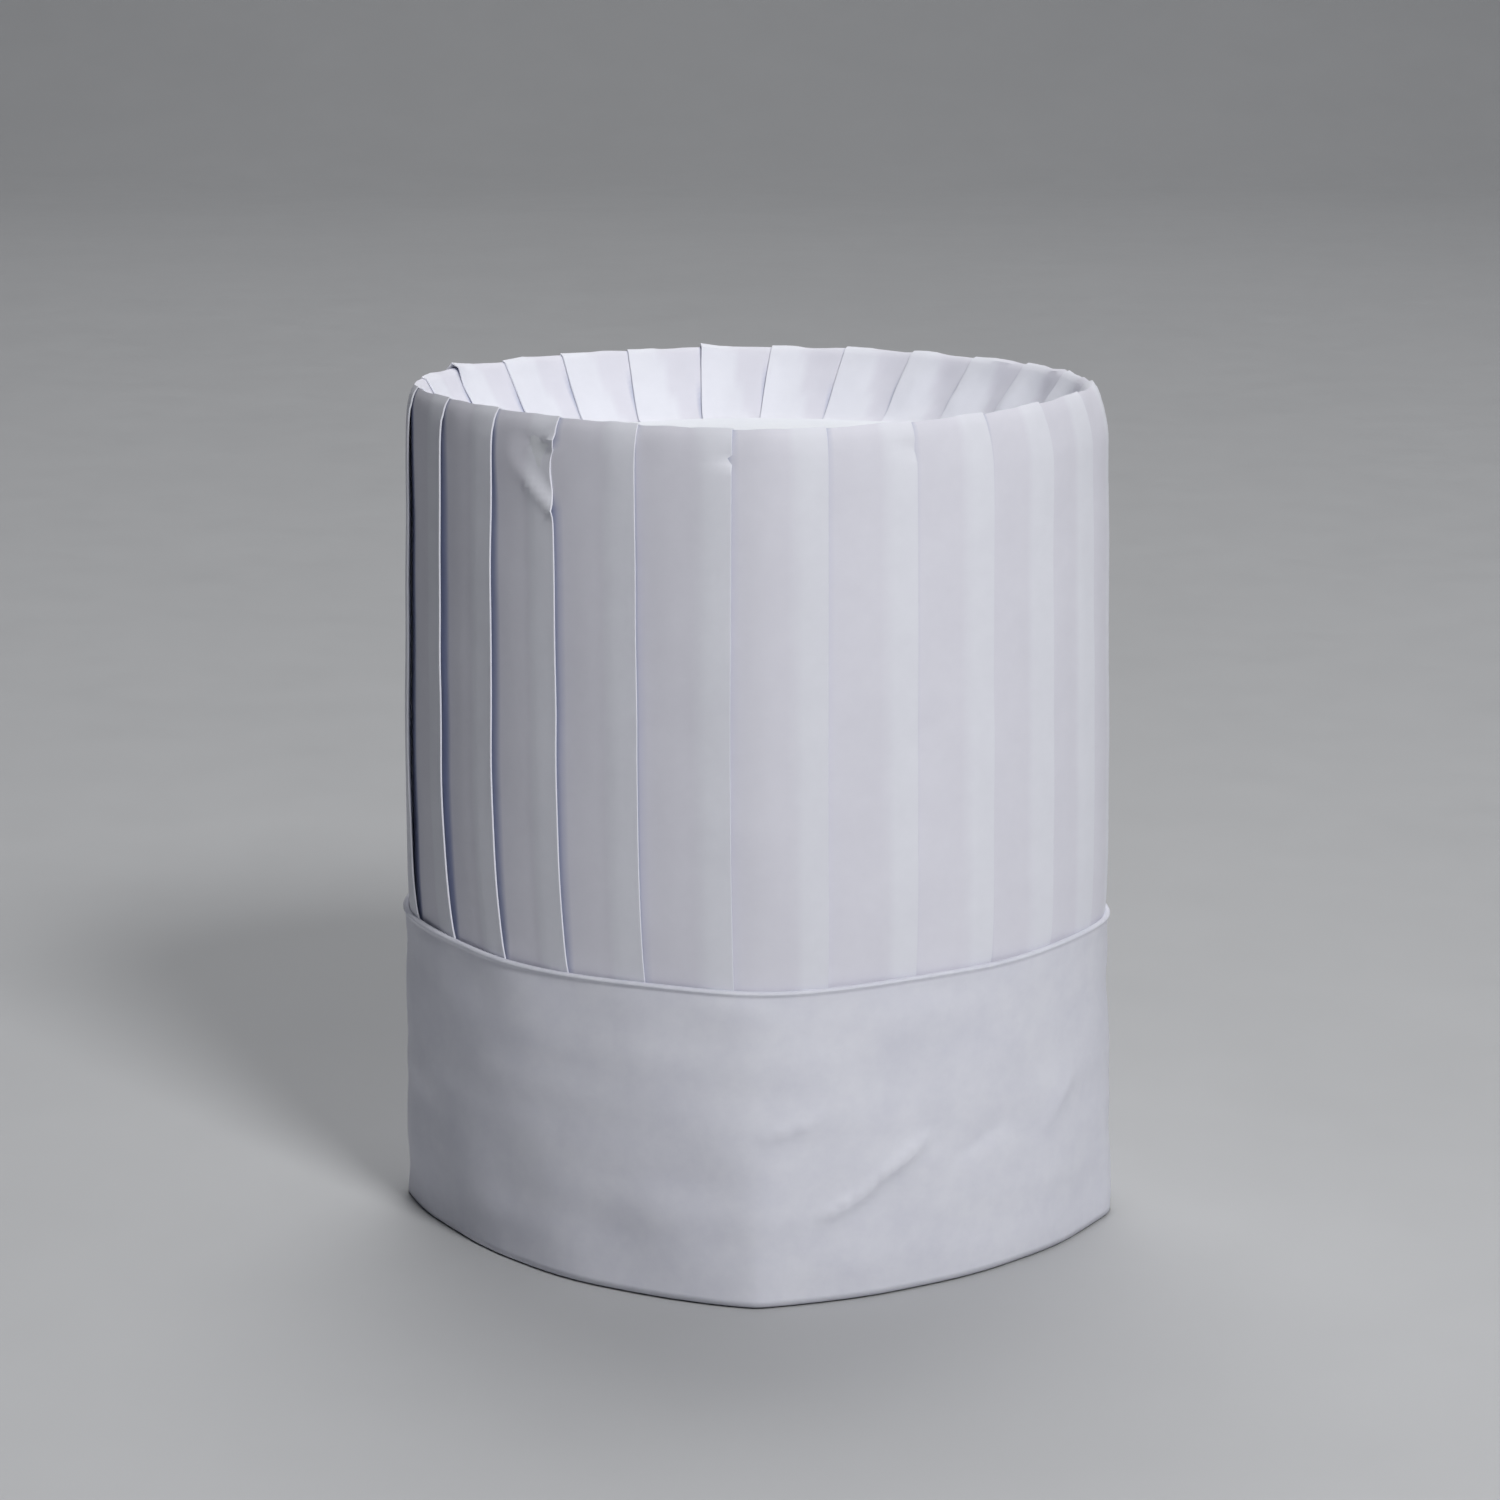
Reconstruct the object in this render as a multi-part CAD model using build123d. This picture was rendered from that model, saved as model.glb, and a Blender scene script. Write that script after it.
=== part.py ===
from build123d import *
import os
from math import atan2, cos, degrees, hypot, radians, sin, sqrt

# Pleated paper chef toque, standing on its headband. Millimetres, +Z up, the hat's front at -Y.
# The origin is the centre of the footprint, on the surface that the headband stands on.

# --- whole hat ---
height = 228.6  # nominal 9 inch toque
half_depth = 81.0  # axis to the front crease, and to the middle of the back
side_x = 95.8  # axis to the side creases
side_y = -4.0
back_radius = 105.0  # the back of the ring is a true arc, so that the tongue can slide round it
back_span = 50.0  # degrees to each side of the middle of the back
front_radius = 120.0  # two flatter arcs meet at the front crease

# --- headband: a strip folded double over its top edge ---
band_height = 83.5
ply = 0.4  # each of the strip's two plies
pocket = 1.4  # room between the plies
band_wall = 2 * ply + pocket
fold_bevel = 0.6
closure_gap = 16.5  # between the strip's two ends, at the back

# --- crown: one pleated sheet, glued inside the headband, rolled over and turned in at the top ---
pleats = 24
pleat_step = 1.2  # how far each pleat's fold stands out from the panel it laps over
crown_wall = 1.0  # the lapped sheet, two to three layers of paper
step_angle = 0.6  # degrees of turn taken by a pleat's step
crown_low = 60.0
turn_in_depth = 19.2  # rim down to the sunken top
turn_in_inset = 19.0  # outline to the foot of the turned-in wall
flange_width = 8.0  # pleat ends bent flat under the top panel
seam_angle = 66.0  # degrees from the middle of the back to the crown's seam

# --- glued-in sheets and adhesive ---
glue = 0.2
panel_thickness = 0.4
panel_inset = turn_in_inset + pleat_step + 1.6
seam_tape_width = 12.0
seam_tape_thickness = 0.2
sweatband_thickness = 1.2
sweatband_low = 4.0
sweatband_width = 38.0
sweatband_end = 118.0  # degrees from the front to each end of the sweatband
sweatband_glue_width = 6.0
crown_glue_low = 64.0
crown_glue_width = 12.0

# --- size tongue: slides in the pockets of both ends of the headband ---
tongue_thickness = 0.4
tongue_low = 6.0
tongue_high = 76.0
tongue_clearance = 0.35  # to the inner ply
tongue_from = -25.0  # degrees about the back arc's centre, towards -X
tongue_to = 29.5  # towards +X
tape_thickness = 0.15
liner_thickness = 0.1
tape_half_angle = 2.8
tape_margin = 4.0


def side_arc():
    """Centre and radius of the arc that leaves the back arc smoothly and ends at the side crease."""
    turn = (sin(radians(back_span)), cos(radians(back_span)))
    start = (back_radius * turn[0], back_radius * turn[1] + half_depth - back_radius)
    run = (side_x - start[0], side_y - start[1])
    radius = -(run[0] ** 2 + run[1] ** 2) / (2 * (run[0] * turn[0] + run[1] * turn[1]))
    return (start[0] - radius * turn[0], start[1] - radius * turn[1]), radius


def front_arc():
    """Centre and radius of the arc from the side crease to the front crease."""
    run = (-side_x, -half_depth - side_y)
    length = hypot(*run)
    rise = sqrt(front_radius**2 - (length / 2) ** 2) / length
    return (side_x / 2 + run[1] * rise, (side_y - half_depth) / 2 - run[0] * rise), front_radius


BACK = ((0.0, half_depth - back_radius), back_radius)
SIDE = side_arc()
FRONT = front_arc()


def arc_reach(arc, angle, inset):
    """Distance from the axis to an arc moved in by inset, at an angle from straight back."""
    (x, y), radius = arc
    along = x * sin(radians(angle)) + y * cos(radians(angle))
    return along + sqrt(along**2 - x**2 - y**2 + (radius - inset) ** 2)


def reach(angle, inset):
    """Distance from the axis to the hat's outline moved in by inset; the angle runs from the back."""
    turn = abs((angle + 180) % 360 - 180)
    corner = join_angle(SIDE, back_span)
    if turn < corner:
        return arc_reach(BACK, turn, inset)
    if turn > 120:
        return arc_reach(FRONT, turn, inset)
    return min(arc_reach(SIDE, turn, inset), arc_reach(FRONT, turn, inset))


def join_angle(arc, normal_angle):
    """Angle at the axis of the point of an arc whose normal leans by normal_angle from +Y."""
    (x, y), radius = arc
    x += radius * sin(radians(normal_angle))
    y += radius * cos(radians(normal_angle))
    return Vector(0, 1).get_angle(Vector(x, y))


def outline(inset):
    """The hat's outline moved in by inset, as a face of arcs."""
    with BuildSketch() as sketch:
        with BuildLine():
            for side in (1, -1):
                corners = [point(a * side, inset) for a in (0, 25, join_angle(SIDE, back_span))]
                ThreePointArc(*corners)
                crease = side_crease(inset)
                corners = [corners[2], point((join_angle(SIDE, back_span) + crease) / 2 * side, inset),
                           point(crease * side, inset)]
                ThreePointArc(*corners)
                ThreePointArc(corners[2], point(135 * side, inset), point(180 * side, inset))
        make_face()
    return sketch.sketch


def side_crease(inset):
    """Angle from the back at which the moved-in side and front arcs cross, found by halving."""
    low, high = 80.0, 110.0
    for _ in range(40):
        middle = (low + high) / 2
        if arc_reach(SIDE, middle, inset) < arc_reach(FRONT, middle, inset):
            low = middle
        else:
            high = middle
    return low


def point(angle, inset, z=0.0):
    """A point of the moved-in outline; the angle runs from the back, positive towards +X."""
    distance = reach(angle, inset)
    return (distance * sin(radians(angle)), distance * cos(radians(angle)), z)


def hoop(outer, inner, low, high):
    """A closed hoop between two insets of the outline and two heights."""
    return Pos(0, 0, low) * extrude(outline(outer) - outline(inner), high - low)


def sector(start, end, low, high):
    """A wedge about the back arc's centre, between two angles from straight back."""
    far = 3 * side_x
    half = far * sin(radians((end - start) / 2))
    deep = far * cos(radians((end - start) / 2))
    wedge = extrude(make_face(Polyline((0, 0), (-half, deep), (half, deep), close=True)), high - low)
    return Pos(0, half_depth - back_radius, low) * Rot(0, 0, -(start + end) / 2) * wedge


def curved_strip(inner_radius, thickness, start, end, low, high):
    """A strip that follows the back arc."""
    ring = Circle(inner_radius + thickness) - Circle(inner_radius)
    strip = Pos(0, half_depth - back_radius, low) * extrude(ring, high - low)
    return strip & sector(start, end, low, high)


def plug(inset, bevel):
    """The headband's full height within one inset, its top edge drawn in by a bevel on either side."""
    shoulder = band_height - abs(bevel)
    top = loft([Pos(0, 0, shoulder) * outline(inset), Pos(0, 0, band_height) * outline(inset + bevel)],
               ruled=True)
    return extrude(outline(inset), shoulder) + top


def make_headband():
    """Inverted U all round: outer ply, fold, inner ply. Its two ends stop short of each other."""
    band = plug(0, fold_bevel) - plug(band_wall, -fold_bevel)
    band -= hoop(ply, ply + pocket, 0, band_height - 2 * ply)
    gap = Box(closure_gap, 2 * band_wall + 8, 3 * band_height)
    return band - Pos(0, half_depth, 0) * gap


def crown_path():
    """The crown's outer surface in one upright cut, as inset and height, from its hidden lower edge."""
    rim = height - 0.4
    return [
        (band_wall + glue, crown_low),
        (band_wall + glue, band_height),
        (0.9, band_height + 9),
        (1.4, 0.64 * height),
        (3.2, height - 14),
        (4.8, height - 4.5),
        (6.6, rim),
        (8.6, height),
        (10.6, rim - 1.0),
        (12.0, height - 5.0),
        (turn_in_inset, height - turn_in_depth),
        (turn_in_inset + flange_width, height - turn_in_depth),
    ]


def thicken(path, thickness):
    """Offsets an inset-and-height path to its inner side, with mitred corners."""
    normals = []
    for (x0, z0), (x1, z1) in zip(path, path[1:]):
        length = hypot(x1 - x0, z1 - z0)
        normals.append(((z1 - z0) / length, -(x1 - x0) / length))
    normals = [normals[0]] + normals + [normals[-1]]
    inner = []
    for (x, z), before, after in zip(path, normals, normals[1:]):
        scale = thickness / (1 + before[0] * after[0] + before[1] * after[1])
        inner.append((x + (before[0] + after[0]) * scale, z + (before[1] + after[1]) * scale))
    return inner


def crown_cut(angle, step):
    """The sheet's section in the upright plane at an angle, set in by the pleat's step."""
    path = crown_path()
    loop = path + thicken(path, crown_wall)[::-1]
    return make_face(Polyline([point(angle, inset + step, z) for inset, z in loop], close=True))


def make_crown():
    """Knife pleats all round: each panel rises to its fold, then steps in under the next panel."""
    cuts = []
    for i in range(pleats):
        start = -i * 360 / pleats
        end = start - 360 / pleats
        cuts.append(crown_cut(start - step_angle / 2, pleat_step))
        cuts.append(crown_cut(end + step_angle / 2, 0.0))
    half = len(cuts) // 2
    return loft(cuts[: half + 1], ruled=True) + loft(cuts[half:] + cuts[:1], ruled=True)


def make_seam_tape():
    """A strip inside the crown that closes the sheet's one upright seam."""
    (side_centre_x, side_centre_y), _ = SIDE
    ends = []
    for inset, z in ((4.2, band_height + 12), (6.2, height - 22)):
        x, y, _ = point(-seam_angle, inset)
        facing = degrees(atan2(-x - side_centre_x, y - side_centre_y))
        strip = Rectangle(seam_tape_width, seam_tape_thickness)
        ends.append(Pos(x, y, z) * Rot(0, 0, facing) * strip)
    return loft(ends, ruled=True)


def make_sweatband(outer, inner, low, high):
    """A hoop inside the headband that stops short of the size closure at the back."""
    open_back = 180 - sweatband_end
    return hoop(outer, inner, low, high) - sector(-open_back, open_back, low - 1, high + 1)


os.makedirs("parts", exist_ok=True)

panel_low = height - turn_in_depth + glue
panel_outline = outline(panel_inset)
tongue_radius = back_radius - ply - pocket + tongue_clearance
tape_radius = tongue_radius + tongue_thickness
sweatband_outer = band_wall + glue
sweatband_high = sweatband_low + sweatband_width

nodes = {
    "headband": make_headband(),
    "crown": make_crown(),
    "crown_glue": hoop(band_wall, band_wall + glue, crown_glue_low, crown_glue_low + crown_glue_width),
    "top_panel": Pos(0, 0, panel_low) * extrude(panel_outline, panel_thickness),
    "top_glue": hoop(panel_inset, panel_inset + flange_width - 2, panel_low - glue, panel_low),
    "seam_tape": make_seam_tape(),
    "sweatband": make_sweatband(
        sweatband_outer, sweatband_outer + sweatband_thickness, sweatband_low, sweatband_high
    ),
    "sweatband_glue": make_sweatband(
        band_wall, sweatband_outer, sweatband_high - sweatband_glue_width, sweatband_high
    ),
    "size_tab": curved_strip(
        tongue_radius, tongue_thickness, tongue_from, tongue_to, tongue_low, tongue_high
    ),
    "tab_tape": curved_strip(
        tape_radius, tape_thickness, -tape_half_angle, tape_half_angle,
        tongue_low + tape_margin, tongue_high - tape_margin,
    ),
    "tab_liner": curved_strip(
        tape_radius + tape_thickness, liner_thickness, -tape_half_angle, tape_half_angle,
        tongue_low + tape_margin, tongue_high - tape_margin,
    ),
}

for name, shape in nodes.items():
    export_step(shape, f"parts/{name}.step")
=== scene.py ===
from math import atan2, cos, degrees, exp, hypot, pi, radians, sin, sqrt

import bpy
import numpy as np
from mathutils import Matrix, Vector


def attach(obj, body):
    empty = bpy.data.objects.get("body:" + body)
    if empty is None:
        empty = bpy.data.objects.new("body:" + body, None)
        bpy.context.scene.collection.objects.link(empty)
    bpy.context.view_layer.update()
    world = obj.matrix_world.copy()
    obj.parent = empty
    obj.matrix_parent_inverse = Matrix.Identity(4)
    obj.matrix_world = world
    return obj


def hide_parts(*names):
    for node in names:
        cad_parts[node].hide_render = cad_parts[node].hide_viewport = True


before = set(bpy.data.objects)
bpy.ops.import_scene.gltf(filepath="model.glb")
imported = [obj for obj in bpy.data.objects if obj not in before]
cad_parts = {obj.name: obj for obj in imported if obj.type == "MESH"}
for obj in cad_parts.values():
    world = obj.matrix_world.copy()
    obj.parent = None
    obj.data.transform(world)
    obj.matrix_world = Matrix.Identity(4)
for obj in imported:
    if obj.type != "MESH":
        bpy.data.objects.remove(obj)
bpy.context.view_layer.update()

# A pleated paper chef toque. Sizes are in millimetres; grid_mesh turns them into metres.
# Angles about the hat's axis run from straight back, positive towards +X.

# ---------------------------------------------------------------- sizes
MM = 0.001
BACK_RADIUS = 105.0  # the tongue slides round this arc
BACK_SPAN = 50.0
FRONT_RADIUS = 120.0
HALF_DEPTH = 81.0
SIDE_X = 96.6
SIDE_Y = -4.0

BAND_HEIGHT = 83.5
BAND_FOLD = 82.7  # where the headband's outer ply starts to roll over
BAND_PAPER = 0.22
GAP_HALF_WIDTH = 8.25  # half of the gap between the headband's ends
PLY_APART = 1.1
TONGUE_ROOM = 0.8  # how much further apart the plies are where the tongue slides

PLEATS = 24
UNDERLAY = 8.0  # how far each pleat goes back under itself
FOLD_DEPTH = 0.95
LAYER = 0.24  # from one layer of a pleat to the next
CROWN_PAPER = 0.14
START_ANGLE = -57.0  # the crown sheet's first edge
SEAM_PLEAT = 1
WALL_MIDDLE = 150.0  # height at which the folds are spaced
WALL_INSET = 1.4
RIM = 225.0

# The crown's lengthways section: inset from the outline, height.
CROWN_PATH = (
    (1.8, 60.0), (1.75, 80.0), (1.55, 84.0), (1.3, 87.0), (1.3, 100.0), (1.7, 120.0), (2.1, 150.0),
    (2.3, 185.0), (2.4, 212.0), (2.5, 219.5), (2.9, 225.0), (4.4, 228.4), (5.3, 228.9), (6.5, 227.6),
    (9.8, 222.0), (19.0, 209.6), (22.0, 209.2), (27.0, 209.2),
)


# ---------------------------------------------------------------- plan shape
def half_arcs(side_x, side_y, front_y, front_radius):
    """Centres and radii of the side and front arcs of the half towards +X."""
    turn = (sin(radians(BACK_SPAN)), cos(radians(BACK_SPAN)))
    start = (BACK_RADIUS * turn[0], BACK_RADIUS * turn[1] + HALF_DEPTH - BACK_RADIUS)
    run = (side_x - start[0], side_y - start[1])
    radius = -(run[0] ** 2 + run[1] ** 2) / (2 * (run[0] * turn[0] + run[1] * turn[1]))
    side = (start[0] - radius * turn[0], start[1] - radius * turn[1], radius)
    run = (-side_x, front_y - side_y)
    length = hypot(*run)
    rise = sqrt(front_radius**2 - (length / 2) ** 2) / length
    front = (side_x / 2 + run[1] * rise, (side_y + front_y) / 2 - run[0] * rise, front_radius)
    return side, front


def arc_reach(arc, turn):
    """Distance from the axis to an arc, in the direction turn, in radians from straight back."""
    x, y, radius = arc
    along = x * np.sin(turn) + y * np.cos(turn)
    return along + np.sqrt(np.maximum(along**2 - x**2 - y**2 + radius**2, 1.0))


def soft_min(a, b, width):
    """The smaller of two, rounded over about width where they cross."""
    return -width * np.logaddexp(-a / width, -b / width)


def smooth(x, low, high):
    """A soft step from 0 at low to 1 at high."""
    t = np.clip((x - low) / (high - low), 0.0, 1.0)
    return t * t * (3 - 2 * t)


JOIN = atan2(
    BACK_RADIUS * sin(radians(BACK_SPAN)),
    BACK_RADIUS * cos(radians(BACK_SPAN)) + HALF_DEPTH - BACK_RADIUS,
)


def plan_reach(angle, right, left, crease):
    """Reach of a whole outline. angle is in degrees from straight back, positive towards +X."""
    turn = np.radians((np.asarray(angle, float) + 180.0) % 360.0 - 180.0)
    back = arc_reach((0.0, HALF_DEPTH - BACK_RADIUS, BACK_RADIUS), turn)
    side = np.where(turn > 0, arc_reach(right[0], np.abs(turn)), arc_reach(left[0], np.abs(turn)))
    rear = np.where(np.abs(turn) < JOIN, back, side)
    fore_right = arc_reach(right[1], turn)
    fore_left = arc_reach(left[1], -turn)
    facing = np.abs(turn) > radians(60)
    rear = np.where(np.abs(turn) > radians(120), 400.0, rear)
    fore_right = np.where(facing & (turn > 0) | (np.abs(turn) > radians(150)), fore_right, 400.0)
    fore_left = np.where(facing & (turn < 0) | (np.abs(turn) > radians(150)), fore_left, 400.0)
    return soft_min(soft_min(fore_right, fore_left, crease), rear, crease)


UPPER = half_arcs(SIDE_X, SIDE_Y, -HALF_DEPTH, FRONT_RADIUS)
LOWER_RIGHT = half_arcs(97.2, -11.0, -84.3, 137.0)
LOWER_LEFT = half_arcs(97.9, 7.6, -84.3, 135.0)


def outline(angle, z, crease=0.6):
    """Reach of the outline at a height: the flat-packed corners still show at the lower edge."""
    upper = plan_reach(angle, UPPER, UPPER, crease)
    lower = plan_reach(angle, LOWER_RIGHT, LOWER_LEFT, crease)
    share = 1 - smooth(np.asarray(z, float), -10.0, BAND_HEIGHT)
    return upper + (lower - upper) * share


def pocket_depth(angle):
    """Outline to the headband's inner ply: the pocket opens out at the back, for the tongue."""
    from_back = np.abs((np.asarray(angle, float) + 180.0) % 360.0 - 180.0)
    return PLY_APART + TONGUE_ROOM * (1 - smooth(from_back, 60.0, 74.0))


def spot(angle, inset, z, crease=0.6):
    """Points at an angle, an inset from the outline and a height."""
    reach = outline(angle, z, crease) - inset
    turn = np.radians(angle)
    return np.stack(np.broadcast_arrays(reach * np.sin(turn), reach * np.cos(turn), z), axis=-1)


# ---------------------------------------------------------------- small tools
def ripples(seed, count, low, high):
    """A smooth uneven field over a sheet: waves with seeded directions, lengths and phases."""
    rng = np.random.default_rng(seed)
    length = rng.uniform(low, high, count)
    heading = rng.uniform(0, pi, count)
    phase = rng.uniform(0, 2 * pi, count)

    def field(u, v):
        total = np.zeros(np.broadcast(u, v).shape)
        for n in range(count):
            run = u * cos(heading[n]) + v * sin(heading[n])
            total += np.sin(2 * pi * run / length[n] + phase[n])
        return total / sqrt(count)

    return field


def facets(seed, count, low, high, spread=pi):
    """A crumpled field: flat facets that meet in creases, across u within the spread."""
    rng = np.random.default_rng(seed)
    length = rng.uniform(low, high, count)
    heading = rng.uniform(-spread / 2, spread / 2, count)
    phase = rng.uniform(0, 2 * pi, count)

    def field(u, v):
        total = np.zeros(np.broadcast(u, v).shape)
        for n in range(count):
            run = u * cos(heading[n]) + v * sin(heading[n])
            total += np.arcsin(np.sin(2 * pi * run / length[n] + phase[n])) * 2 / pi
        return total / sqrt(count)

    return field


def wrinkle(u, v, start, end, width, tall):
    """A crease from start to end, a tent in section, that dies away at both ends."""
    run = (end[0] - start[0], end[1] - start[1])
    length = hypot(*run)
    along = ((u - start[0]) * run[0] + (v - start[1]) * run[1]) / length**2
    across = ((u - start[0]) * -run[1] + (v - start[1]) * run[0]) / length
    fade = np.clip(1 - (2 * along - 1) ** 2, 0, 1)
    return tall * fade * np.exp(-np.abs(across) / width)


def rounded(path, rounds=3):
    """Corner cutting that keeps the ends."""
    points = np.array(path, float)
    for _ in range(rounds):
        near = 0.75 * points[:-1] + 0.25 * points[1:]
        far = 0.25 * points[:-1] + 0.75 * points[1:]
        points = np.vstack([points[:1], np.stack([near, far], 1).reshape(-1, 2), points[-1:]])
    return points


def respaced(points, step):
    """Points along a path at about equal steps."""
    run = np.concatenate([[0], np.cumsum(np.hypot(*np.diff(points, axis=0).T))])
    count = int(round(run[-1] / step)) + 1
    at = np.linspace(0, run[-1], count)
    return np.stack([np.interp(at, run, points[:, 0]), np.interp(at, run, points[:, 1])], 1)


def grid_mesh(name, points, material, around=False, thick=None, sharp=None):
    """A sheet from rows of points in millimetres."""
    rows, columns = points.shape[:2]
    faces = []
    for r in range(rows - 1):
        low, high = r * columns, (r + 1) * columns
        for c in range(columns if around else columns - 1):
            d = (c + 1) % columns
            faces.append((low + c, low + d, high + d, high + c))
    mesh = bpy.data.meshes.new(name)
    mesh.from_pydata((points.reshape(-1, 3) * MM).tolist(), [], faces)
    mesh.update()
    piece = bpy.data.objects.new(name, mesh)
    bpy.context.scene.collection.objects.link(piece)
    mesh.polygons.foreach_set("use_smooth", [True] * len(mesh.polygons))
    if sharp:
        mesh.set_sharp_from_angle(angle=radians(sharp))
    mesh.materials.append(material)
    if thick:
        shell = piece.modifiers.new("thickness", "SOLIDIFY")
        shell.thickness = thick * MM
        shell.offset = -1.0
    return piece


# ---------------------------------------------------------------- materials
# Painted shade: the colour multiplied in deep inside each pleat.
PAINTED_SHADE_TINT = (0.40, 0.46, 0.63)


def paper_material(name, colour, shade, fibre=0.03, rough=0.62, relief=0.12, sheen=0.08, scale=1.0,
                   backing=None):
    """Uncoated paper: mottled formation, fine fibres, faint handling marks. Where more paper lies
    behind a thin sheet, as the backing attribute says, it looks a little whiter, and deep inside a
    pleat, as the shade attribute says, it gets painted shade: the colour is made bluer and darker."""
    material = bpy.data.materials.new(name)
    material.use_nodes = True
    nodes = material.node_tree.nodes
    links = material.node_tree.links
    shader = nodes["Principled BSDF"]
    shader.inputs["Sheen Weight"].default_value = sheen
    shader.inputs["Sheen Roughness"].default_value = 0.6
    shader.inputs["Specular IOR Level"].default_value = 0.32
    place = nodes.new("ShaderNodeTexCoord")

    def noise(size, detail, roughness=0.5):
        texture = nodes.new("ShaderNodeTexNoise")
        texture.inputs["Scale"].default_value = size * scale
        texture.inputs["Detail"].default_value = detail
        texture.inputs["Roughness"].default_value = roughness
        links.new(place.outputs["Object"], texture.inputs["Vector"])
        return texture.outputs["Fac"]

    def weighted(source, weight, rest=None):
        """source times weight, plus rest."""
        step = nodes.new("ShaderNodeMath")
        step.operation = "MULTIPLY_ADD"
        step.inputs[1].default_value = weight
        step.inputs[2].default_value = 0.0
        links.new(source, step.inputs[0])
        if rest:
            links.new(rest, step.inputs[2])
        return step.outputs[0]

    cloud = noise(260.0, 6.0, 0.65)
    broad = noise(24.0, 3.0)
    middle = noise(85.0, 4.0)
    fine = noise(2200.0, 3.0)
    mottle = weighted(cloud, 0.3, weighted(middle, 0.4, weighted(broad, 0.3)))
    ramp = nodes.new("ShaderNodeValToRGB")
    ramp.color_ramp.elements[0].position = 0.38
    ramp.color_ramp.elements[1].position = 0.62
    ramp.color_ramp.elements[0].color = (*shade, 1.0)
    ramp.color_ramp.elements[1].color = (*colour, 1.0)
    links.new(mottle, ramp.inputs["Fac"])

    def tinted(source, share, tint):
        """source multiplied by a tint, as far as share says."""
        mix = nodes.new("ShaderNodeMix")
        mix.data_type = "RGBA"
        mix.blend_type = "MULTIPLY"
        mix.inputs["B"].default_value = (*tint, 1.0)
        links.new(share, mix.inputs["Factor"])
        links.new(source, mix.inputs["A"])
        return mix.outputs["Result"]

    paint = ramp.outputs["Color"]
    if backing:
        doubled = nodes.new("ShaderNodeAttribute")
        doubled.attribute_name = "backing"
        single = nodes.new("ShaderNodeMath")
        single.operation = "SUBTRACT"
        single.inputs[0].default_value = 1.0
        links.new(doubled.outputs["Fac"], single.inputs[1])
        # Painted shade: the shade attribute darkens and blues the paint deep inside each pleat.
        inner = nodes.new("ShaderNodeAttribute")
        inner.attribute_name = "shade"
        paint = tinted(paint, single.outputs[0], backing)
        paint = tinted(paint, inner.outputs["Fac"], PAINTED_SHADE_TINT)
    links.new(paint, shader.inputs["Base Color"])
    wear = nodes.new("ShaderNodeMapRange")
    wear.inputs["From Min"].default_value = 0.3
    wear.inputs["From Max"].default_value = 0.7
    wear.inputs["To Min"].default_value = rough - 0.08
    wear.inputs["To Max"].default_value = rough + 0.1
    links.new(cloud, wear.inputs["Value"])
    links.new(wear.outputs["Result"], shader.inputs["Roughness"])
    bump = nodes.new("ShaderNodeBump")
    bump.inputs["Strength"].default_value = relief
    bump.inputs["Distance"].default_value = fibre * MM
    links.new(weighted(fine, 0.6, cloud), bump.inputs["Height"])
    links.new(bump.outputs["Normal"], shader.inputs["Normal"])
    return material


crown_paper = paper_material("crown_paper", (0.865, 0.873, 0.94), (0.83, 0.836, 0.905), relief=0.35,
                             backing=(0.945, 0.93, 0.945))
crown_inside = paper_material("crown_paper_inside", (0.85, 0.865, 0.905), (0.81, 0.825, 0.87),
                              relief=0.35)
panel_paper = paper_material("top_panel_paper", (0.84, 0.86, 0.90), (0.79, 0.81, 0.86), relief=0.3)
band_paper = paper_material("headband_paper", (0.825, 0.83, 0.90), (0.75, 0.755, 0.84), relief=0.4)
tab_paper = paper_material("size_tab_paper", (0.80, 0.81, 0.84), (0.73, 0.74, 0.78), relief=0.4)
liner_paper = paper_material("liner_paper", (0.78, 0.74, 0.62), (0.72, 0.68, 0.56), rough=0.38,
                             sheen=0.0)
tape_paper = paper_material("seam_tape_paper", (0.80, 0.79, 0.74), (0.74, 0.73, 0.68), rough=0.5)
nonwoven = paper_material("sweatband_nonwoven", (0.86, 0.87, 0.88), (0.74, 0.75, 0.78), fibre=0.25,
                          rough=0.85, relief=0.8, sheen=0.35, scale=1.6)
tape_film = paper_material("tape_film", (0.74, 0.75, 0.74), (0.68, 0.69, 0.68), rough=0.25, sheen=0.0)
adhesive = paper_material("adhesive", (0.80, 0.77, 0.66), (0.72, 0.68, 0.56), rough=0.3, sheen=0.0)

# ---------------------------------------------------------------- crown
# One folded sheet. Its rows follow CROWN_PATH, and its columns run counter-clockwise from the seam:
# left side, front, right side, back. Each pleat's panel rises to a free folded edge, goes back under
# itself by UNDERLAY, and meets the next panel there.
dense = np.linspace(START_ANGLE, START_ANGLE - 360.0, 7201)
mid_wall = spot(dense, WALL_INSET, WALL_MIDDLE)[:, :2]
walk = np.concatenate([[0], np.cumsum(np.hypot(*np.diff(mid_wall, axis=0).T))])
ring_length = walk[-1]


def angle_at(run):
    """Angle about the axis for a distance round the crown's wall, which may pass the seam."""
    laps = np.floor(run / ring_length)
    return np.interp(run - laps * ring_length, walk, dense) - 360.0 * laps


jitter = np.random.default_rng(11)
slant = jitter.uniform(-0.6, 0.6, PLEATS)  # sideways drift of a fold up the wall
lifts = jitter.uniform(0.75, 1.25, PLEATS)  # how far a fold stands off, against the usual
sway = jitter.uniform(-0.5, 0.5, PLEATS)  # sideways drift of a fold down the bowl
bow = jitter.uniform(0.15, 0.5, PLEATS)  # how far a panel bulges


def fold_at(i):
    """Distance round the wall of the i-th outer fold: the pleats are a little uneven."""
    lap = 2 * pi * i / PLEATS
    uneven = 1.8 - 3.2 * sin(lap) - 3.9 * cos(lap) + 2.4 * cos(2 * lap)
    return ring_length * i / PLEATS + uneven


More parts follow.
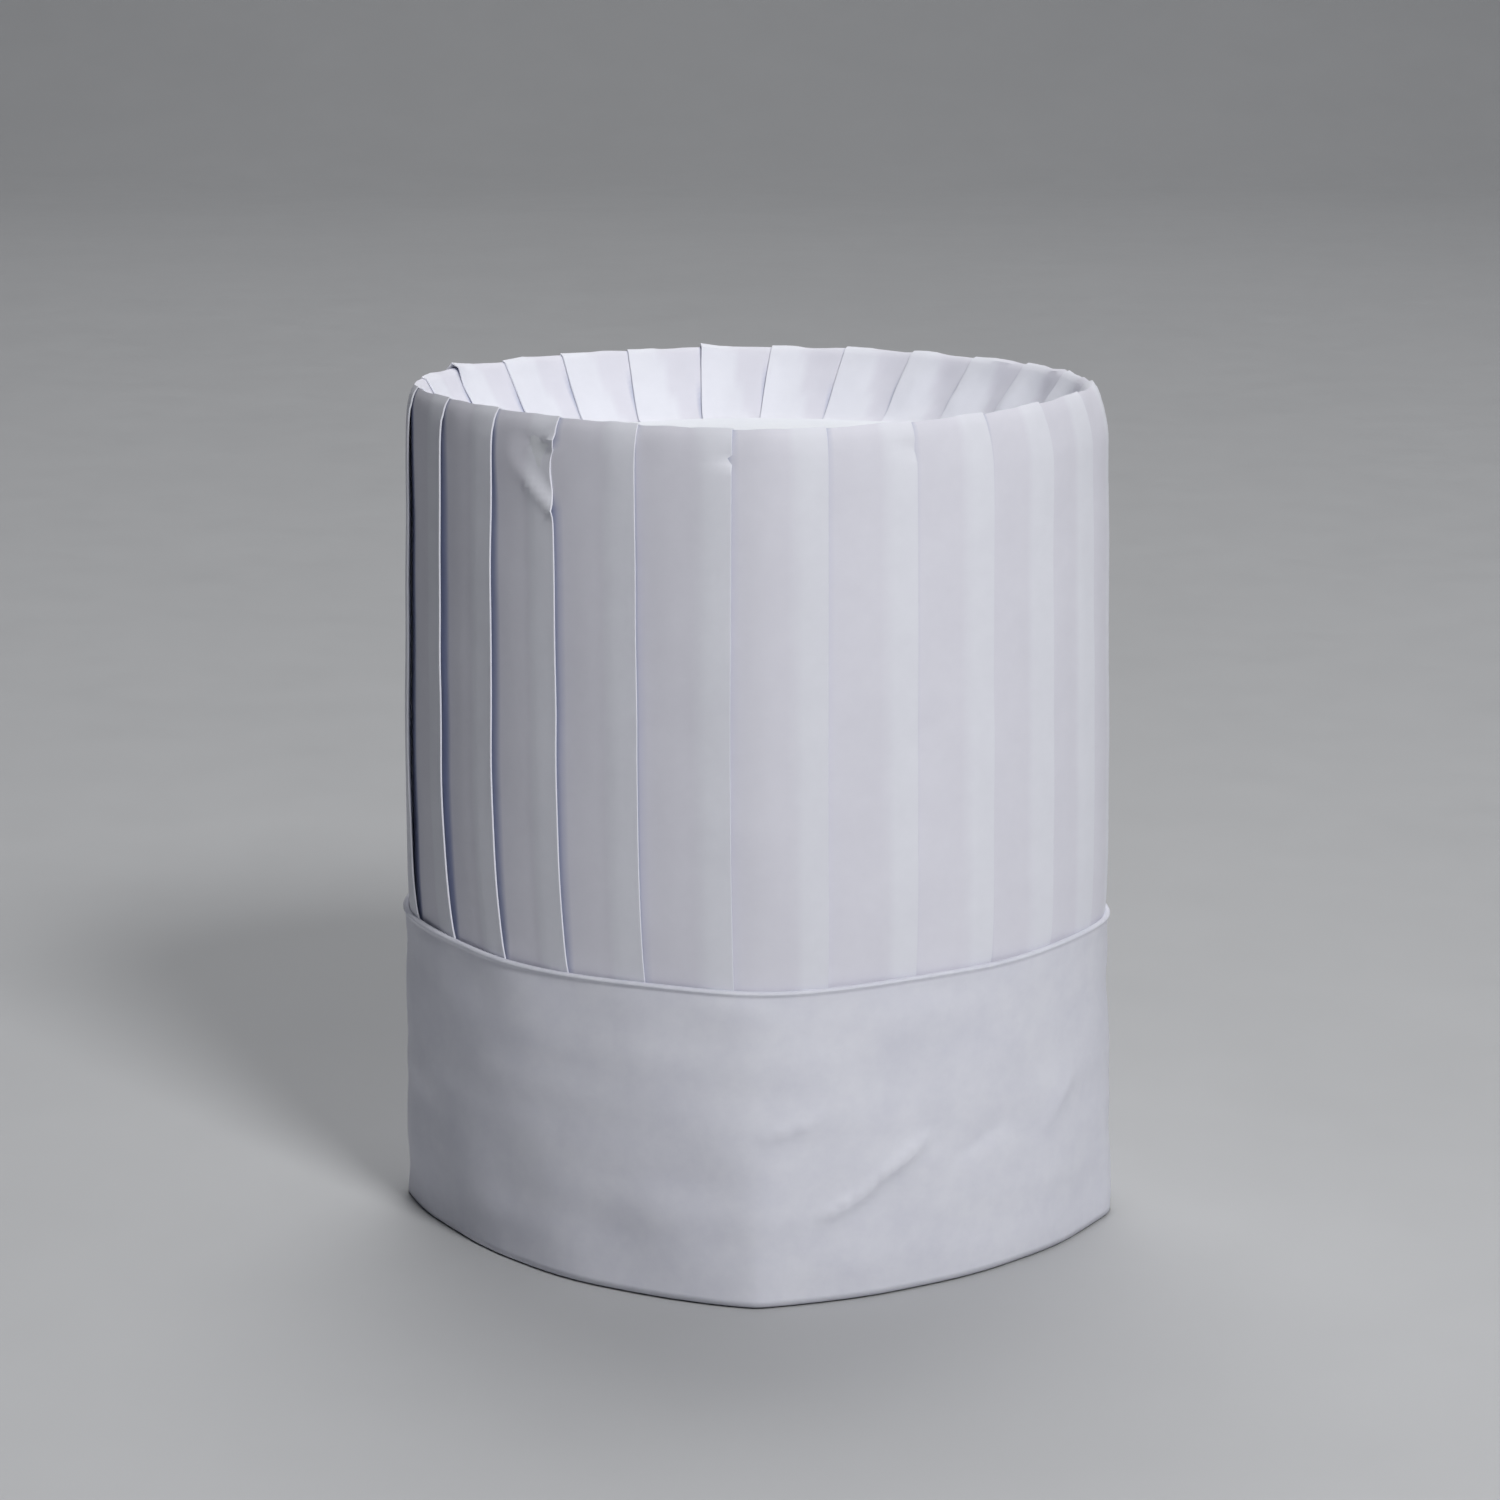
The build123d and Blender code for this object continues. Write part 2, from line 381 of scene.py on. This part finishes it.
path = respaced(rounded(CROWN_PATH), 1.6)
path_run = np.concatenate([[0], np.cumsum(np.hypot(*np.diff(path, axis=0).T))])
along = np.gradient(path, path_run, axis=0)
normal = np.stack([-along[:, 1], along[:, 0]], 1)
normal /= np.hypot(*normal.T)[:, None]
height = path[:, 1]
inset = path[:, 0]
after_rim = path_run - path_run[int(np.argmax(height))]
wall = after_rim < -6.0
# swell: the pleats stand open between the headband and the rim, which hold them shut.
swell = np.sin(pi * np.clip((height - BAND_HEIGHT + 1) / (RIM - BAND_HEIGHT), 0, 1)) ** 0.45
swell = np.where(wall, swell, 0.0)
shrink = (ring_length - 2 * pi * (inset - WALL_INSET)) / ring_length
bowl = smooth(after_rim, 1.0, 10.0)
slide = np.clip(after_rim / 24.0, 0.0, 1.0)
crest = np.exp(-((after_rim / 6.0) ** 2))
held = 1 - smooth(height, 83.0, 89.0)
fold_depth = FOLD_DEPTH * (1 - 0.35 * bowl - 0.55 * crest - 0.45 * held) + 0.4 * swell

PANEL_POINTS = 22  # columns to each panel
UNDER_POINTS = 5  # columns to each underlay

CRUSHED, NICKED, DIMPLED = 6, 8, 10  # pleats whose edges are knocked in under the rim
CRUSH_LOW = 203.5
CRUSH_TALL = 18.0
FLAPS = {SEAM_PLEAT: 1.2, 21: 0.7}  # pleats whose edges stand up at the rim, and how far


def edge_dent(i, to_edge):
    """Knocks in the folded edges just under the rim, as a depth."""
    dent = np.zeros_like(height)
    if i == CRUSHED:
        low = CRUSH_LOW + 0.86 * to_edge
        high = CRUSH_LOW + CRUSH_TALL + 0.45 * to_edge
        share = (height - low) / max(high - low, 1.0)
        tent = np.clip(np.minimum(share / 0.35, (1 - share) / 0.15), 0, 1)
        dent += np.minimum(1.6 * tent * max(1 - to_edge / 16.0, 0.0), 1.25)
        dent -= 0.9 * np.exp(-np.abs(height - low) / 1.5) * max(1 - to_edge / 18.0, 0.0)
        dent -= 0.5 * np.exp(-np.abs(height - high - 1.0) / 1.2) * max(1 - to_edge / 14.0, 0.0)
    if i == NICKED:
        dent += 2.0 * np.clip(1 - np.abs(height - 220.5) / 2.8, 0, 1) * exp(-to_edge / 2.6)
    if i == DIMPLED:
        off = np.abs(height - 221.5 - 0.3 * to_edge)
        dent += 1.1 * np.clip(1 - off / 3.4, 0, 1) * exp(-to_edge / 5.0)
    return dent * wall


def edge_slip(i):
    """Sideways slip of a folded edge where it is knocked in."""
    if i == CRUSHED:
        up = np.clip((height - CRUSH_LOW) / CRUSH_TALL, 0, 1) ** 1.4
        return 2.0 * np.sin(pi * up) ** 0.7 * wall
    return 0 * height


lean = np.clip((height - WALL_MIDDLE) / 75.0, 0, 1)
low_down = np.clip((WALL_MIDDLE - height) / 66.0, 0, 1)


def edge_run(i):
    """Distance round the wall of the i-th fold's edge at each height. The folds at the left are
    pulled sideways at the headband, and all twist a little down the bowl."""
    k = i % PLEATS
    pull = 4.8 * ((1 + cos(2 * pi * (i - 3) / PLEATS)) / 2) ** 4
    twist = 3.2 - 1.8 * sin(radians(float(angle_at(fold_at(i)))))
    run = fold_at(i) + (sway[k] + twist) * slide - edge_slip(k)
    return run + slant[k] * lean + pull * (1.1 * low_down**2 - 0.3 * lean)


columns = []
backed = []
painted_shade_share = []
for i in range(SEAM_PLEAT + 1, SEAM_PLEAT + 1 + PLEATS):
    k = i % PLEATS
    before = edge_run(i - 1)
    after = edge_run(i)
    under = ((fold_at(i) - fold_at(i - 1)) * (1 - shrink) + 2 * UNDERLAY) / 2 / shrink
    lift = (1.2 + 0.3 * cos(2 * pi * (i - 5) / PLEATS)) * lifts[k] * swell * (0.75 + 0.3 * low_down)
    flap = FLAPS.get(k, 0.0) * np.exp(-(((after_rim + 1.0) / 5.0) ** 2))
    first = before - under
    for n in range(PANEL_POINTS):
        a = (1 - cos(pi * n / (PANEL_POINTS - 1))) / 2
        run = first + (after - first) * a
        to_edge = (after - run) * shrink
        ridge = 0.25 * (1 - smooth(to_edge, under - 1.5, under + 1.5))
        rise = lift * a**3 + flap * a**5 + ridge + bow[k] * sin(pi * a) ** 2 * (0.1 + swell)
        columns.append((run, fold_depth * (1 - a) - rise + edge_dent(k, float(to_edge[0]))))
        backed.append(1 - smooth(to_edge, under - 0.5, under + 0.5))
        # Painted shade on the part of the panel tucked under the previous fold's edge.
        painted_shade_share.append(smooth(before - run, -0.3, 0.9))
    tip = edge_dent(k, 0.0) - lift - flap
    for b in (0.2, 0.8):
        columns.append((after + 0.1 + 0 * height, LAYER * b - 0.25 * (1 - b) + tip))
        backed.append(1 + 0 * height)
        painted_shade_share.append(0 * height)
    for n in range(UNDER_POINTS):
        b = (n + 1) / UNDER_POINTS
        depth = LAYER + (fold_depth - 0.42) * b + tip * (1 - b) ** 1.5
        columns.append((after - under * b, depth))
        backed.append(1 + 0 * height)
        painted_shade_share.append(0 * height)

run_grid = np.stack([c[0] for c in columns], 1)
depth_grid = np.stack([c[1] for c in columns], 1)
along_grid = path_run[:, None] + 0 * run_grid
depth_grid += 0.10 * ripples(3, 9, 24.0, 70.0)(run_grid * shrink[:, None], along_grid)

# The turned-in wall is crumpled, most of all at the right of the back, and the rim at the right.
crushed = 0.35 + 0.65 * smooth(np.cos(2 * pi * (run_grid / ring_length - 0.72)), 0.2, 0.9)
crushed = crushed * (bowl * (1 - 0.9 * smooth(after_rim, 15.0, 23.0)))[:, None]
depth_grid += crushed * 0.65 * facets(5, 3, 13.0, 24.0, 0.6)(run_grid, along_grid)
depth_grid += crushed * 0.25 * facets(6, 3, 17.0, 36.0)(run_grid, along_grid)
near_rim = np.exp(-((after_rim / 8.0) ** 2))[:, None]
corner = smooth(np.cos(np.radians(angle_at(run_grid) - 84.0)), 0.88, 0.99)
depth_grid += near_rim * (0.2 + 0.35 * corner) * facets(21, 4, 12.0, 30.0, 0.7)(run_grid, along_grid)

# The rim sags at the front, and the sides draw in towards it.
turn_grid = angle_at(run_grid)
forward = (1 - np.cos(np.radians(turn_grid))) / 2
sag = (0.5 + 1.3 * forward**2) * smooth(height, 205.0, 228.0)[:, None]
aside = np.sin(np.radians(turn_grid))
squeeze = 0.85 * smooth(height, 130.0, 205.0)[:, None] * aside**2
squeeze += 1.8 * smooth(height, 213.0, 228.0)[:, None] * np.clip(aside, 0, 1) ** 2
inset_grid = inset[:, None] - depth_grid * normal[:, 0][:, None] + squeeze
inset_grid += (pocket_depth(turn_grid) - PLY_APART) * held[:, None]
height_grid = height[:, None] - depth_grid * normal[:, 1][:, None] - sag
crown_points = spot(turn_grid, inset_grid, height_grid, 1.0)
crown = grid_mesh("pleated_crown", crown_points, crown_paper, thick=CROWN_PAPER, sharp=38)
# The shade attribute carries painted shade, read by the crown's material.
for layer, values in (("backing", backed), ("shade", painted_shade_share)):
    marks = crown.data.attributes.new(layer, "FLOAT", "POINT")
    marks.data.foreach_set("value", np.stack(values, 1).ravel())
crown.data.materials.append(crown_inside)
crown.modifiers["thickness"].material_offset = 1
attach(crown, "hat")
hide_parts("crown")

# ---------------------------------------------------------------- headband
# One sheet folded over its top edge: ply is 0 on the outer ply, 1 on the inner one.
WRINKLES = (  # start and end, as run from the front crease and height, then width and depth
    ((15.0, 22.0), (33.0, 30.0), 1.4, 2.2),
    ((26.0, 28.0), (50.0, 42.0), 1.6, 2.2),
    ((0.0, 44.0), (19.0, 50.0), 1.5, 1.3),
    ((52.0, 32.0), (76.0, 40.0), 2.5, -0.9),
    ((88.0, 34.0), (104.0, 47.0), 2.5, 1.0),
)
gap_turn = degrees(atan2(GAP_HALF_WIDTH, HALF_DEPTH))
BAND_COLUMNS = 521
band_angle = np.linspace(-gap_turn, gap_turn - 360.0, BAND_COLUMNS)
band_walk = spot(band_angle, 0.0, 40.0)[:, :2]
band_run = np.concatenate([[0], np.cumsum(np.hypot(*np.diff(band_walk, axis=0).T))])
band_angle = np.interp(np.linspace(0, band_run[-1], BAND_COLUMNS), band_run, band_angle)
front_run = float(np.interp(180.0, -band_angle, np.linspace(0, band_run[-1], BAND_COLUMNS)))
across = np.linspace(0, band_run[-1], BAND_COLUMNS) - front_run
outer_rise = np.concatenate([np.linspace(0.0, 80.0, 48), np.linspace(80.5, BAND_FOLD, 6)])
roll = np.linspace(0, pi, 9)[1:-1]
ply = np.concatenate([0 * outer_rise, (1 - np.cos(roll)) / 2, 1 + 0 * outer_rise])
band_high = np.concatenate([outer_rise, BAND_FOLD + 0.75 * np.sin(roll), outer_rise[::-1]])
bead = 0.7 * np.exp(-(((band_high - 82.9) / 0.65) ** 2)) * (ply < 0.6)
band_inset = ply[:, None] * pocket_depth(band_angle)[None, :] - bead[:, None]
band_high = band_high[:, None] + 0 * band_angle[None, :]
across_grid = across[None, :] + 0 * band_high

# Handling marks, outwards. Where the tongue slides, the inner ply stays plain.
free = 1 - smooth(np.abs(across_grid), 150.0, 190.0)
handled = 0.26 * ripples(31, 8, 26.0, 80.0)(across_grid, band_high)
handled += 0.16 * ripples(32, 6, 9.0, 22.0)(0.3 * across_grid, band_high)
handled += 0.12 * facets(33, 4, 22.0, 60.0)(across_grid, band_high)
for start, end, width, tall in WRINKLES:
    handled += wrinkle(across_grid, band_high, start, end, width, tall)
fixed = smooth(band_high, 78.0, 82.0)
lower_edge = 1 - smooth(band_high, 0.0, 14.0)
handled += 0.5 * lower_edge * facets(35, 3, 20.0, 38.0)(across_grid, 0 * band_high)
outer = ply[:, None] < 0.6
band_inset -= np.where(outer, 0.55 + 0.45 * free, 0.4 * free) * handled * (1 - 0.7 * fixed)

# The top edge wanders, and rises at the left side.
dip = 0.5 * ripples(37, 4, 60.0, 160.0)(across, 0 * across)
dip += 2.2 * smooth(-across, 70.0, 125.0) * (1 - smooth(-across, 170.0, 230.0))
band_high += dip[None, :] * smooth(band_high, 60.0, 82.0) * free
band_points = spot(band_angle[None, :], band_inset, band_high, 0.4 + 1.4 * smooth(band_high, 0.0, 80.0))
band = grid_mesh("folded_headband", band_points, band_paper, thick=BAND_PAPER)
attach(band, "hat")
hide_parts("headband")

# ---------------------------------------------------------------- top panel
# A square grid bent into a disc, so that no faces meet in a point, then stretched to the outline.
PANEL_INSET = 21.6
PANEL_HEIGHT = 210.0
square = np.sin(np.linspace(-pi / 2, pi / 2, 71))
disc_x = square[None, :] * np.sqrt(1 - square[:, None] ** 2 / 2)
disc_y = square[:, None] * np.sqrt(1 - square[None, :] ** 2 / 2)
panel_turn = np.arctan2(disc_x, disc_y)
panel_share = np.minimum(np.hypot(disc_x, disc_y), 1.0)
panel_reach = panel_share * (outline(np.degrees(panel_turn), WALL_MIDDLE, 1.0) - PANEL_INSET)
dome = ripples(8, 7, 30.0, 80.0)
panel_x = panel_reach * np.sin(panel_turn)
panel_y = panel_reach * np.cos(panel_turn)
panel_z = PANEL_HEIGHT - 1.4 * (1 - panel_share**2) ** 2 + 0.22 * dome(panel_x, panel_y)
panel_points = np.stack([panel_x, panel_y, panel_z], -1)
panel = grid_mesh("round_top_panel", panel_points, panel_paper, thick=0.3)
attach(panel, "hat")
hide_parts("top_panel")


# ---------------------------------------------------------------- strips
def wall_strip(name, node, material, turns, heights, clear, thick, steps):
    """A strip inside the headband's inner ply, clear of it by a small distance."""
    angles = np.linspace(*turns, steps[0])[None, :]
    rows = np.linspace(*heights, steps[1])[:, None]
    points = spot(angles, pocket_depth(angles) + clear, rows + 0 * angles)
    strip = grid_mesh(name, points[::-1], material, thick=thick)
    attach(strip, "hat")
    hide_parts(node)
    return strip


ring_turns = (gap_turn + 1.0, 360.0 - gap_turn - 1.0)
wall_strip("crown_glue_line", "crown_glue", adhesive,
           ring_turns, (64, 76), 0.15, 0.1, (240, 5))
sweat = wall_strip("sweatband_strip", "sweatband", nonwoven,
                   (62, 298), (4, 42), 0.35, 1.0, (200, 12))
wall_strip("sweatband_glue_line", "sweatband_glue", adhesive,
           (63, 297), (36, 41), 0.15, 0.1, (160, 4))

GLUE_HEIGHT = 209.45
ring_inset = np.linspace(22.8, 25.6, 4)
ring_angle = np.arange(180) * 2.0
ring_turn = np.radians(ring_angle)
ring_reach = outline(ring_angle, WALL_MIDDLE, 1.0)[None, :] - ring_inset[:, None]
top_ring = np.stack([ring_reach * np.sin(ring_turn), ring_reach * np.cos(ring_turn),
                     GLUE_HEIGHT + 0 * ring_reach], -1)
top_glue = grid_mesh("top_glue_ring", top_ring, adhesive, around=True, thick=0.1)
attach(top_glue, "hat")
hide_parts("top_glue")

seam_rows = np.where(wall)[0]
seam_turn = angle_at(np.linspace(-6.0, 6.0, 7) + fold_at(SEAM_PLEAT) - UNDERLAY)
seam_high = height[seam_rows][:, None] + 0 * seam_turn[None, :]
seam_points = spot(seam_turn[None, :], inset[seam_rows][:, None] + 1.45, seam_high)
seam = grid_mesh("crown_seam_tape", seam_points, tape_paper, thick=0.12)
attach(seam, "hat")
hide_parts("seam_tape")


def tongue_strip(name, node, material, turns, heights, radius, thick, steps):
    """A strip about the back arc's centre, which is the joint's axis."""
    turn = np.radians(np.linspace(*turns, steps[0]))[None, :]
    rows = np.linspace(*heights, steps[1])[:, None]
    back = radius * np.cos(turn) + HALF_DEPTH - BACK_RADIUS
    points = np.stack(np.broadcast_arrays(radius * np.sin(turn), back, rows), -1)
    strip = grid_mesh(name, points[::-1], material, thick=thick)
    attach(strip, "size_tongue")
    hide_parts(node)


tongue_strip("size_tongue_paper", "size_tab", tab_paper,
             (-25, 29.5), (6, 76), 103.95, 0.4, (90, 30))
tongue_strip("tongue_tape", "tab_tape", tape_film,
             (-2.8, 2.8), (10, 72), 104.07, 0.1, (12, 24))
tongue_strip("tongue_liner", "tab_liner", liner_paper,
             (-2.8, 2.8), (10, 72), 104.18, 0.1, (12, 24))

# ---------------------------------------------------------------- floor, light, camera
# Metres from here on. The floor runs back and sweeps up behind the hat.
FLOOR = 3.2
SWEEP = 1.2
lane = [(-6.0, 0.0), (FLOOR, 0.0)]
lane += [(FLOOR + SWEEP * sin(radians(q)), SWEEP * (1 - cos(radians(q)))) for q in range(6, 91, 6)]
lane += [(FLOOR + SWEEP, 6.0)]
sweep_points = np.array([[(x, y, z - 0.0006) for x in (-7.0, 7.0)] for y, z in lane]) / MM
floor_paint = paper_material("floor_paint", (0.52, 0.525, 0.535), (0.50, 0.505, 0.515),
                             relief=0.03, sheen=0.0, scale=0.1)
floor = grid_mesh("floor", sweep_points, floor_paint)

world = bpy.data.worlds.new("studio")
bpy.context.scene.world = world
world.use_nodes = True
world.node_tree.nodes["Background"].inputs["Color"].default_value = (0.74, 0.83, 1.0, 1.0)
world.node_tree.nodes["Background"].inputs["Strength"].default_value = 0.05


def soft_light(name, turn, rise, reach, size, power, colour=(1, 1, 1)):
    """A round soft box. turn is degrees right of the front."""
    lamp = bpy.data.lights.new(name, "AREA")
    lamp.shape = "DISK"
    lamp.size = size
    lamp.energy = power
    lamp.color = colour
    level = cos(radians(rise))
    at = Vector((sin(radians(turn)) * level, -cos(radians(turn)) * level, sin(radians(rise))))
    holder = bpy.data.objects.new(name, lamp)
    holder.location = at * reach + Vector((0, 0, 0.12))
    holder.rotation_euler = at.to_track_quat("Z", "Y").to_euler()
    bpy.context.scene.collection.objects.link(holder)


soft_light("key_light", 28.5, 40, 2.2, 0.55, 29.8)
soft_light("top_light", 150, 76, 2.0, 0.8, 4.5)
soft_light("backdrop_light", 180, 60, 4.5, 3.0, 80)

eye = bpy.data.cameras.new("camera")
eye.lens = 95.5
eye.sensor_width = 36.0
camera = bpy.data.objects.new("camera", eye)
camera.location = (0.0, -1.050, 0.3703)
camera.rotation_euler = (radians(90 - 12.99), 0.0, radians(0.101))
bpy.context.scene.collection.objects.link(camera)
bpy.context.scene.camera = camera
bpy.context.scene.view_settings.view_transform = "Standard"
